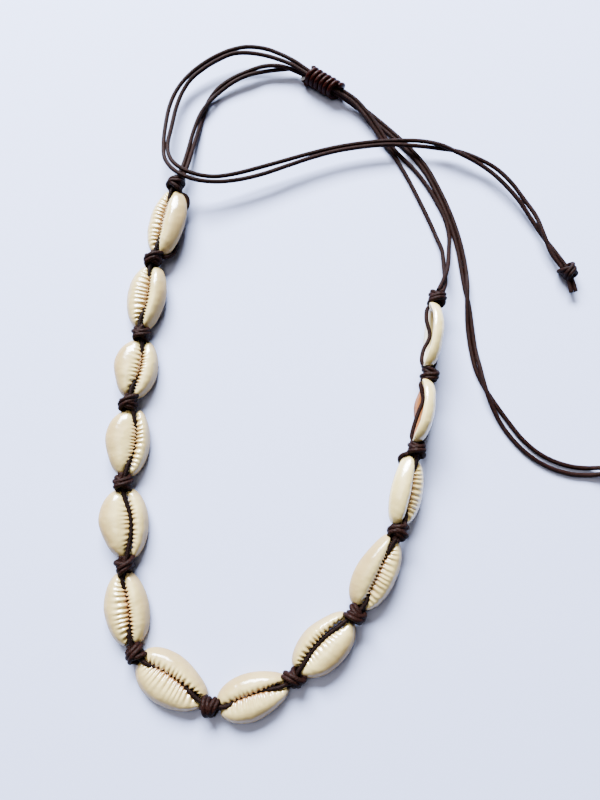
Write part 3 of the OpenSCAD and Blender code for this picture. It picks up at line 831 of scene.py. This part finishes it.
def cowrie(i):
    """A sheet of steps round the shell and rows over its lips, closed into the cut cowrie."""
    look = LOOKS[i]
    half = (knot_places[i + 1] - knot_places[i]).length / 2 - KNOT_ROOM + TIP_OVER
    slot_reach = half - NOTCH - NOTCH_TO_SLOT
    steep = SHELLS[i][ROLL] > STEEP
    frame_of_shell = shell_frame(i)
    lip_rows = len(LIP_COURSE)
    rows = lip_rows + INNER_ROWS
    bm = bmesh.new()
    groove_layer = bm.verts.layers.float.new("groove")
    side_layer = bm.verts.layers.float.new("side")
    deep_layer = bm.verts.layers.float.new("deep")
    warm_layer = bm.verts.layers.float.new("warm")
    cut_layer = bm.verts.layers.float.new("cut")
    sheet = bmesh.ops.create_grid(bm, x_segments=STATIONS, y_segments=rows, size=0.5)["verts"]
    drift = random.Random(40 + i).uniform(0, 20)
    for vert in sheet:
        angle = 2 * math.pi * (vert.co.x + 0.5)
        row = round((vert.co.y + 0.5) * rows) % rows
        inside = row >= lip_rows
        u = math.cos(angle)
        turn = math.sin(angle)
        breadth = abs(turn)
        left = turn >= 0
        edge = slot_edge(i, slot_reach, u, turn)
        margin = margin_point(i, half, u, turn)
        top = SHELL_H * between(TIP_SHARE, 1, breadth ** 0.95)
        if inside:
            # The inner wall runs up from the cut and under the lip back to the slot
            k = (row - lip_rows + 1) / (INNER_ROWS + 0.2)
            inner_rim = 0.9 - WALL / max((margin - edge).length, 0.3)
            share = between(inner_rim, 0.16, k ** 1.4) if inner_rim > 0.16 else inner_rim
            height = (top * 0.97 - ROOF) * math.sin(min(k * 1.25, 1) * math.pi / 2) * (1 - 0.12 * k)
        else:
            share, rise = LIP_COURSE[row]
            height = rise * top
        # Ribs end in teeth at the slot. They fade out on the lip, and the tips are calm.
        rib_reach = look[L_RIB if left else R_RIB]
        rib_depth = look[L_DEEP if left else R_DEEP]
        fine = rib_reach < FINE_LIMIT
        wander = 0.2 * math.sin(edge.x * 0.9 + drift + (1 if left else -1))
        phase = edge.x / (TOOTH_PITCH if fine else RIB_PITCH) + wander
        ridge = (0.5 + 0.5 * math.cos(2 * math.pi * phase)) ** 0.8
        calm = ease(1, (breadth - 0.12) / 0.25)
        fade = 0
        if share < rib_reach and not inside:
            fade = 1 - ease(1, max(share, 0) / rib_reach)
        height += RIB_RISE * rib_depth * fade * calm * (ridge - 0.7)
        tooth = 0
        if share < TOOTH_SHARE and not inside:
            depth = FINE_TOOTH if fine else 0.75 * rib_depth
            tooth = depth * ridge * calm * (1 - ease(1, max(share, 0) / TOOTH_SHARE))
        toward_slot = (edge - margin).normalized()
        drawn_back = TOOTH_BACK * calm if share < TOOTH_SHARE else 0
        flat = edge.lerp(margin, share) + toward_slot * (tooth - drawn_back)
        # Shells 12 and 13 stand on edge. Their upper sawn edge is hollowed, and a bit of the
        # orange back is left on the lower sawn edge of shell 12.
        under = 1 - min(height / top, 1)
        if left:
            height += look[HOLLOW] * (1 - u * u) * under * ease(1, breadth)
        else:
            height -= look[STUB] * math.exp(-((u - 0.3) / 0.4) ** 2) * under ** 2 * ease(1, breadth)
        # The notch at each tip is low, so that the cord passes over it
        if height > 0.01:
            bridge = math.exp(-(turn / 0.17) ** 2)
            height = between(height, 1.2 if inside else height * 0.33 + 0.7, bridge)
        # The surface is a little uneven, broadly and finely
        place = Vector((flat.x, flat.y, height - STRING_Z))
        sway = noise.noise(Vector((place.x * 0.35 + 7 * i, place.y * 0.35, place.z * 0.3)))
        ripple = noise.noise(Vector((place.x * 0.9 + 5 * i, place.y * 0.9, 3.3)))
        if height > 0.4:
            place += Vector((0, 0, (0.12 * sway + 0.07 * ripple) * calm))
        # Masks for the finish: painted shade in the grooves and on the flanks, the brown and painted shade
        # at the slot and inside, its strength and the sawn edge
        stained = look[HOLLOW] > 0 and not left and height < STAIN_H
        vert[groove_layer] = (1 - ridge) * fade * calm
        # Inside and on steep shells the flanks get no painted shade, except on the orange stub of shell 12
        if inside or steep:
            vert[side_layer] = 1.0 if stained and look[STUB] else 0.0
        else:
            vert[side_layer] = ease(1, (share - 0.3) / 0.7)
        vert[deep_layer] = 1.0 if inside or stained else 1 - ease(1, (share + 0.03) / 0.17)
        vert[warm_layer] = look[WARM]
        vert[cut_layer] = 1 - look[WARM] if row in (lip_rows - 1, lip_rows) else 0.0
        vert.co = (frame_of_shell @ place) * MM
    bmesh.ops.remove_doubles(bm, verts=[vert for vert in bm.verts if vert.is_boundary], dist=0.002 * MM)
    for face in bm.faces:
        face.smooth = True
    bmesh.ops.recalc_face_normals(bm, faces=bm.faces)
    mesh = bpy.data.meshes.new("shell_%02d" % (i + 1))
    bm.to_mesh(mesh)
    bm.free()
    piece = bpy.data.objects.new("shell_%02d" % (i + 1), mesh)
    bpy.context.scene.collection.objects.link(piece)
    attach(piece, "root")
    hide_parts("cowrie_%02d" % (i + 1))
    return piece


def shell_enamel():
    """Glossy cream shell: soft patches, painted light on the crowns, painted shade in the grooves between
    ribs and on the flanks, a slot and inside brown partly of their own colour and partly painted shade,
    chalky sawn edge.
    """
    material = bpy.data.materials.new("cream_cowrie")
    material.use_nodes = True
    nodes = material.node_tree.nodes
    links = material.node_tree.links
    shader = nodes["Principled BSDF"]
    place = nodes.new("ShaderNodeTexCoord")

    def attribute(name):
        node = nodes.new("ShaderNodeAttribute")
        node.attribute_name = name
        return node.outputs["Fac"]

    # Cream, lighter on the crown of each lip and darker towards the flanks, partly the shell's own tone and
    # partly painted light and shade; also darker in patches
    patches = patches_on(nodes, links, place, scale=120, contrast=2.2)
    crown = maths(nodes, links, "SUBTRACT", 1.0, attribute("side"))
    tone = maths(nodes, links, "ADD", maths(nodes, links, "MULTIPLY", patches, 0.5),
                 maths(nodes, links, "MULTIPLY", crown, 0.45))
    cream = mixed(nodes, links, tone, (0.33, 0.225, 0.08), (0.7, 0.56, 0.23))
    # Painted shade in the grooves between the ribs
    groove_painted_shade = maths(nodes, links, "MULTIPLY", attribute("groove"), 0.7)
    with_groove_painted_shade = mixed(nodes, links, groove_painted_shade, cream, (0.43, 0.27, 0.09))
    # The flanks are darkened further with painted shade
    flank_painted_shade = maths(nodes, links, "MULTIPLY", attribute("side"), 0.6)
    with_flank_painted_shade = mixed(nodes, links, flank_painted_shade, with_groove_painted_shade, (0.27, 0.18, 0.085))
    # The slot's edge and the inside turn dark brown, partly the shell's own colour and partly painted shade
    slot_brown_and_painted_shade = maths(nodes, links, "MULTIPLY", attribute("deep"), attribute("warm"))
    with_slot_brown_and_shade = mixed(nodes, links, slot_brown_and_painted_shade, with_flank_painted_shade, (0.22, 0.08, 0.024))
    sawn = mixed(nodes, links, attribute("cut"), with_slot_brown_and_shade, (0.68, 0.58, 0.44))
    links.new(sawn, shader.inputs["Base Color"])
    links.new(ranged(nodes, links, attribute("cut"), 0.2, 0.75), shader.inputs["Roughness"])
    links.new(ranged(nodes, links, attribute("side"), 1, 0), shader.inputs["Coat Weight"])
    dimples = patches_on(nodes, links, place, scale=420, contrast=2)
    relief_on(nodes, links, shader, dimples, strength=0.5, distance=0.16 * MM)
    shader.inputs["Subsurface Weight"].default_value = 0.12
    shader.inputs["Subsurface Radius"].default_value = (1, 0.75, 0.45)
    shader.inputs["Subsurface Scale"].default_value = 0.8 * MM
    shader.inputs["Specular IOR Level"].default_value = 0.12
    shader.inputs["Coat IOR"].default_value = 2
    shader.inputs["Coat Roughness"].default_value = 0.2
    return material


cream_cowrie = shell_enamel()
for i in range(len(SHELLS)):
    cowrie(i).data.materials.append(cream_cowrie)


# Strands in the row of shells
# The same doubled cord runs on between the knots: one strand lies in each toothed slot,
# and the other crosses the open back of the shell.
STRAND_SIDES = 12
# How far from the middle of its knot a strand ends
STRAND_END = 0.6
# Heights from the string's middle, in millimetres: of the strands at the knots, of the front one
# at the tips and in the slot, and of the back one under the shell
KNOT_LEVEL = 0.55
TIP_LEVEL = 0.75
SLOT_LEVEL = 0.85
BACK_LEVEL = -1.65
front_paths = []
back_paths = []
for i in range(len(SHELLS)):
    look = LOOKS[i]
    lift = SHELLS[i][FACE]
    place = shell_frame(i)
    span = (knot_places[i + 1] - knot_places[i]).length
    half = span / 2 - KNOT_ROOM
    near = slot_line(i, -1)
    far = slot_line(i, 1)
    front = [
        (-span / 2 + STRAND_END, 0, KNOT_LEVEL - lift),
        (-half - 0.3, near * 0.6, KNOT_LEVEL - lift + 0.1),
        (-half + 1.8, near, TIP_LEVEL),
    ]
    for u in (-0.75, -0.375, 0, 0.375, 0.75):
        depth = SLOT_LEVEL - look[SINK] * (1 - u * u) * (1 - look[TILT] * u)
        front.append(((half - 2.4) * u, slot_line(i, u), depth))
    front += [
        (half - 1.8, far, TIP_LEVEL),
        (half + 0.3, far * 0.6, KNOT_LEVEL - lift + 0.1),
        (span / 2 - STRAND_END, 0, KNOT_LEVEL - lift),
    ]
    across = (near + far) / 2
    low = BACK_LEVEL - SHELLS[i][BACK]
    back = [
        (-span / 2 + STRAND_END, 0, -KNOT_LEVEL - lift),
        (-half - 0.3, near * 0.6, -KNOT_LEVEL - lift - 0.1),
        (-half + 1, near, low),
        (-half / 2, across, low),
        (0, across, low + look[HOLLOW]),
        (half / 2, across, low),
        (half - 1, far, low),
        (half + 0.3, far * 0.6, -KNOT_LEVEL - lift - 0.1),
        (span / 2 - STRAND_END, 0, -KNOT_LEVEL - lift),
    ]
    if i == 0:
        # The first shell leans, and this strand comes out beside both of its tips
        back[2:7] = [
            (-half + 0.6, 2.9, -1.9), (-half + 2.2, 3.5, -2.9), (-half + 4.5, 3.2, -3), (0, 2.4, -2.9),
            (half - 5.2, 3.4, -3), (half - 3.4, 3.7, -3), (half - 1.3, 3.6, -2.9),
            (half - 0.2, 3.2, -2.1), (half + 0.5, 2.2, -1.4),
        ]
    if i == 11:
        # Here it lies further out at the lower half, and the orange bit shows beside it
        back[3:6] = [(-half / 2, across, low + 0.1), (0, across, low + 0.7), (half * 0.4, across, low + 1.3)]
    if i == 10:
        # Here it passes the far tip of the shell on the left
        back[6:8] = [
            (half - 2.2, 1.4, -3), (half - 1, 2.3, -2.9), (half - 0.2, 2.6, -1.8), (half + 0.5, 1.9, -0.8),
        ]
    front_paths.append(smooth_path([place @ Vector(point) * MM for point in front], CORD_STEP))
    back_paths.append(smooth_path([place @ Vector(point) * MM for point in back], CORD_STEP))
# The strand in the slots gets a darker copy of the cord's colours, as painted shade
slot_cord_painted_shade = waxed_cord(
    "waxed_cord_painted_slot_shade", deep=(0.0008, 0.0003, 0.0002), light=(0.016, 0.006, 0.0045),
    bloom=(0.006, 0.0025, 0.002), roughness=0.5, relief_depth=0.07 * MM)
front_strand = cord_piece("front_strand_cord", front_paths, CORD_R, STRAND_SIDES, slot_cord_painted_shade)
back_strand = cord_piece("back_strand_cord", back_paths, CORD_R, STRAND_SIDES, cord_finish)
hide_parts("front_strand")
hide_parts("back_strand")
